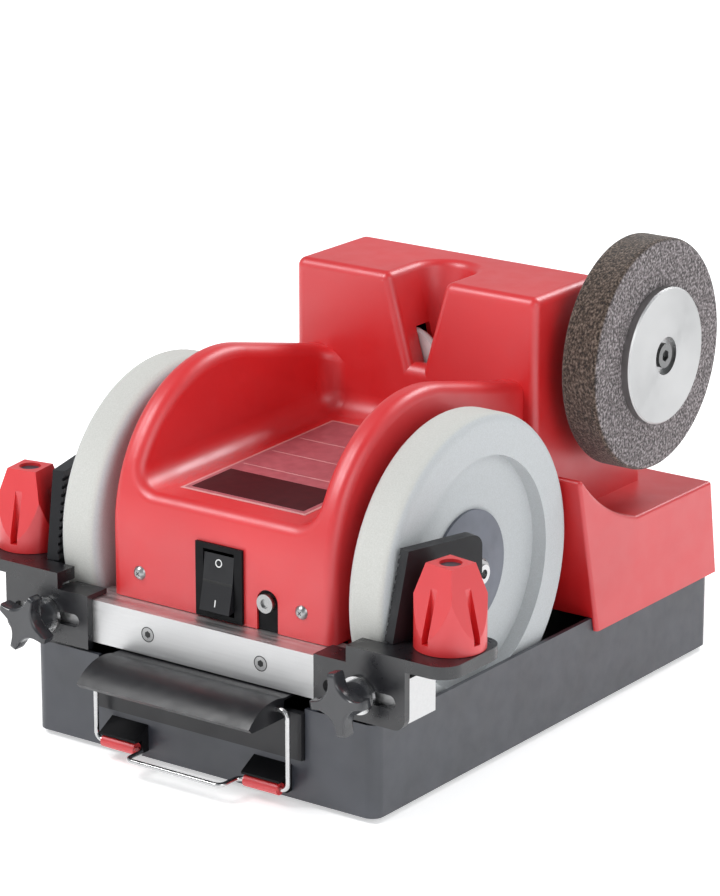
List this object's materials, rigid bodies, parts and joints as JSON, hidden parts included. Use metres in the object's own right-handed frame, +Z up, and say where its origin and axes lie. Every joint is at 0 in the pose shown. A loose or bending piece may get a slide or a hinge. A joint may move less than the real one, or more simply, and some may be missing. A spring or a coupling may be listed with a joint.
{
  "type": "knife grinding and polishing machine",
  "caption": "Bench knife grinder with paired stone wheels, sliding angle guides on a front bar, a polishing wheel, a V slot with crossed honing rollers and a wire-latched drawer.",
  "frame": {"origin": "middle of the footprint box on the standing surface", "axes": "+X to the operator's right along the wheel shaft, +Y from front to back, +Z up"},
  "size_m": [0.372, 0.436, 0.299],
  "materials": {
    "black_plastic": "satin black moulding",
    "black_steel": "black powder coat",
    "red_cover": "glossy red moulding",
    "red_grip": "glossy red grip",
    "wheel_stone": "fine pale grinding stone",
    "grey_flange": "dark grey paint",
    "aluminium": "brushed",
    "felt": "grey-brown pressed felt",
    "white_ceramic": "fired, matt",
    "black_rubber": "matt",
    "grey_metal": "grey primer",
    "bright_steel": "bright zinc plate"
  },
  "bodies": {
    "machine": {"base_housing": "black_plastic", "rubber_feet": "black_rubber", "cable_gland": "black_plastic", "catches": "black_plastic", "chassis": "grey_metal", "shaft_bearing_left": "bright_steel", "shaft_bearing_right": "bright_steel", "polish_bearing": "bright_steel", "cover": "red_cover", "cover_screws": "bright_steel", "guide_bar": "aluminium", "bar_screws": "bright_steel", "clamp_studs": "bright_steel", "drive_belt": "black_rubber", "polish_belt": "black_rubber", "motor": "grey_metal", "motor_cradle": "grey_metal", "roller_pins": "bright_steel", "switch_housing": "black_plastic", "reset_collar": "black_plastic"},
    "wheels": {"wheel_shaft": "bright_steel", "drive_pulley": "aluminium", "grinding_wheel_left": "wheel_stone", "grinding_wheel_right": "wheel_stone", "wheel_flange_left": "grey_flange", "wheel_flange_right": "grey_flange", "back_flange_left": "grey_flange", "back_flange_right": "grey_flange", "wheel_nut_left": "bright_steel", "wheel_nut_right": "bright_steel"},
    "motor_rotor": {"motor_shaft": "bright_steel", "motor_pulley": "aluminium"},
    "polisher": {"polishing_wheel": "felt", "polish_flange_outer": "aluminium", "polish_flange_inner": "aluminium", "polish_shaft": "bright_steel", "polish_screw": "bright_steel", "polish_pulley": "aluminium"},
    "honing_left": {"honing_roller_left": "white_ceramic"},
    "honing_right": {"honing_roller_right": "white_ceramic"},
    "rocker": {"rocker": "black_plastic"},
    "reset": {"reset_button": "bright_steel"},
    "drawer": {"drawer": "black_plastic", "drawer_lip": "black_plastic"},
    "bail": {"bail_wire": "bright_steel", "bail_sleeves": "red_grip"},
    "bracket_left": {"bracket_left": "black_steel"},
    "guide_left": {"angle_guide_left": "black_plastic"},
    "angle_knob_left": {"angle_knob_left": "red_grip", "knob_cap_left": "black_plastic"},
    "star_left": {"star_knob_left": "black_plastic", "washer_left": "bright_steel"},
    "bracket_right": {"bracket_right": "black_steel"},
    "guide_right": {"angle_guide_right": "black_plastic"},
    "angle_knob_right": {"angle_knob_right": "red_grip", "knob_cap_right": "black_plastic"},
    "star_right": {"star_knob_right": "black_plastic", "washer_right": "bright_steel"}
  },
  "joints": [
    {"name": "wheel_spin", "type": "hinge", "parent": "machine", "child": "wheels", "pos_m": [0, -0.062, 0.126], "axis": [1, 0, 0], "continuous": true},
    {"name": "motor_spin", "type": "hinge", "parent": "machine", "child": "motor_rotor", "pos_m": [0.04, 0.11, 0.075], "axis": [1, 0, 0], "continuous": true},
    {"name": "polish_spin", "type": "hinge", "parent": "machine", "child": "polisher", "pos_m": [0.12, 0.131, 0.223], "axis": [1, 0, 0], "continuous": true},
    {"name": "honing_left_spin", "type": "hinge", "parent": "machine", "child": "honing_left", "pos_m": [-0.019, 0.067, 0.203], "axis": [0, 1, 0], "continuous": true},
    {"name": "honing_right_spin", "type": "hinge", "parent": "machine", "child": "honing_right", "pos_m": [0.023, 0.074, 0.203], "axis": [0, 1, 0], "continuous": true},
    {"name": "rocker_tilt", "type": "hinge", "parent": "machine", "child": "rocker", "pos_m": [0.001, -0.1555, 0.122], "axis": [1, 0, 0], "range_deg": [0, 12]},
    {"name": "reset_press", "type": "slide", "parent": "machine", "child": "reset", "axis": [0, 1, 0], "range_m": [0, 0.0025], "stiffness_N_per_m": 400},
    {"name": "drawer_slide", "type": "slide", "parent": "machine", "child": "drawer", "axis": [0, -1, 0], "range_m": [0, 0.07]},
    {"name": "bail_swing", "type": "hinge", "parent": "drawer", "child": "bail", "pos_m": [0, -0.19, 0.063], "axis": [-1, 0, 0], "range_deg": [0, 80]},
    {"name": "bracket_right_slide", "type": "slide", "parent": "machine", "child": "bracket_right", "axis": [1, 0, 0], "range_m": [0, 0.012]},
    {"name": "angle_knob_right_turn", "type": "hinge", "parent": "bracket_right", "child": "angle_knob_right", "pos_m": [0.163, -0.146, 0.138], "axis": [0, 0, 1], "range_deg": [-120, 120]},
    {"name": "guide_right_swing", "type": "hinge", "parent": "bracket_right", "child": "guide_right", "pos_m": [0.13766, -0.13862, 0.113], "axis": [0, 0, 1], "range_deg": [-3, 3]},
    {"name": "star_right_turn", "type": "hinge", "parent": "machine", "child": "star_right", "pos_m": [0.122, -0.195, 0.082], "axis": [0, 1, 0], "range_deg": [-180, 180]},
    {"name": "bracket_left_slide", "type": "slide", "parent": "machine", "child": "bracket_left", "axis": [-1, 0, 0], "range_m": [0, 0.012]},
    {"name": "angle_knob_left_turn", "type": "hinge", "parent": "bracket_left", "child": "angle_knob_left", "pos_m": [-0.163, -0.146, 0.138], "axis": [0, 0, 1], "range_deg": [-120, 120]},
    {"name": "guide_left_swing", "type": "hinge", "parent": "bracket_left", "child": "guide_left", "pos_m": [-0.13766, -0.13862, 0.113], "axis": [0, 0, 1], "range_deg": [-3, 3]},
    {"name": "star_left_turn", "type": "hinge", "parent": "machine", "child": "star_left", "pos_m": [-0.122, -0.195, 0.082], "axis": [0, 1, 0], "range_deg": [-180, 180]}
  ],
  "couplings": [
    {"joint": "motor_spin", "follows": "wheel_spin", "ratio": 2.2857},
    {"joint": "polish_spin", "follows": "wheel_spin", "ratio": 1.7778},
    {"joint": "guide_right_swing", "follows": "angle_knob_right_turn", "ratio": 0.025},
    {"joint": "guide_left_swing", "follows": "angle_knob_left_turn", "ratio": 0.025}
  ]
}
